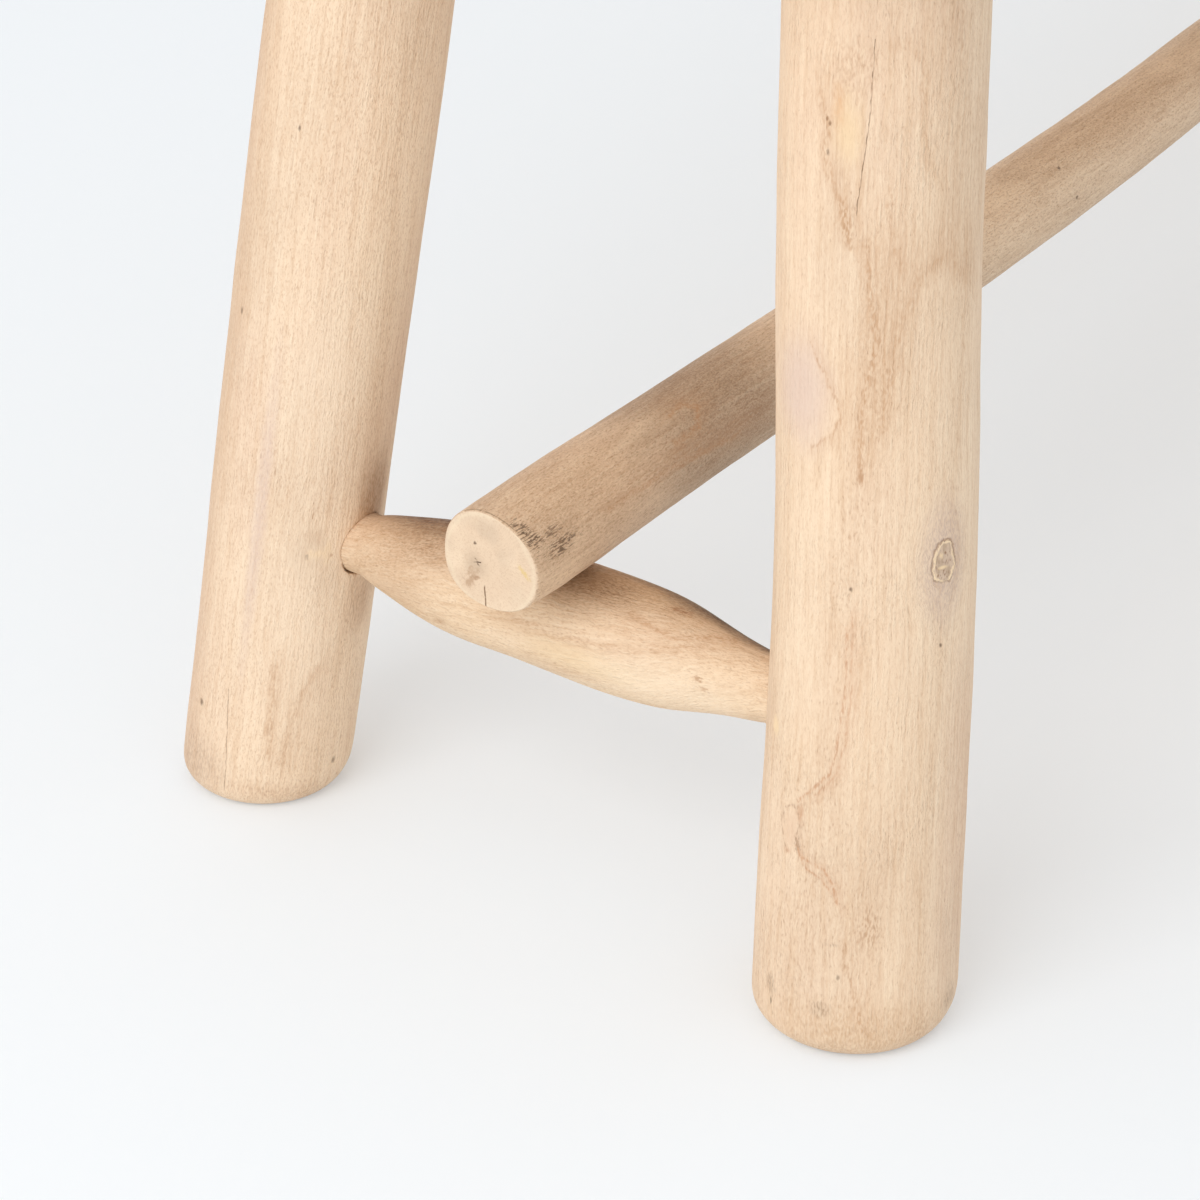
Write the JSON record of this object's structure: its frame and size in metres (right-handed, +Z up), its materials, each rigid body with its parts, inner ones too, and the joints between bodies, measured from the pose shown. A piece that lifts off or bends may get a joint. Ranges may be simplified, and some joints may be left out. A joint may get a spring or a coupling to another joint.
{
  "type": "wooden bench",
  "caption": "Rustic backless teak bench: plank seat staked on splayed debarked poles, spindle-shaped cross stretchers at the ends and a long branch stretcher resting on them.",
  "frame": {"origin": "on the floor, under the middle of the seat", "axes": "+Z up, +X along the bench to its right-hand end, +Y to its back; the front faces -Y"},
  "size_m": [1.5, 0.35, 0.455],
  "materials": {
    "seat_teak": "sanded, unfinished",
    "spline_teak": "sanded, unfinished",
    "leg_teak": "sanded, unfinished",
    "wedge_teak": "sanded, unfinished",
    "cross_teak": "sanded, unfinished",
    "long_teak": "sanded, unfinished",
    "plug_teak": "sanded, unfinished",
    "screw_steel": "zinc plated"
  },
  "bodies": {
    "root": {"seat_plank_front": "seat_teak", "seat_plank_middle": "seat_teak", "seat_plank_back": "seat_teak", "seat_spline_front": "spline_teak", "seat_spline_back": "spline_teak", "leg_front_left": "leg_teak", "leg_back_left": "leg_teak", "leg_front_right": "leg_teak", "leg_back_right": "leg_teak", "leg_wedge_front_left": "wedge_teak", "leg_wedge_back_left": "wedge_teak", "leg_wedge_front_right": "wedge_teak", "leg_wedge_back_right": "wedge_teak", "cross_stretcher_left": "cross_teak", "stretcher_screw_left": "screw_steel", "screw_plug_left": "plug_teak", "cross_stretcher_right": "cross_teak", "stretcher_screw_right": "screw_steel", "screw_plug_right": "plug_teak", "long_stretcher": "long_teak"}
  },
  "joints": []
}
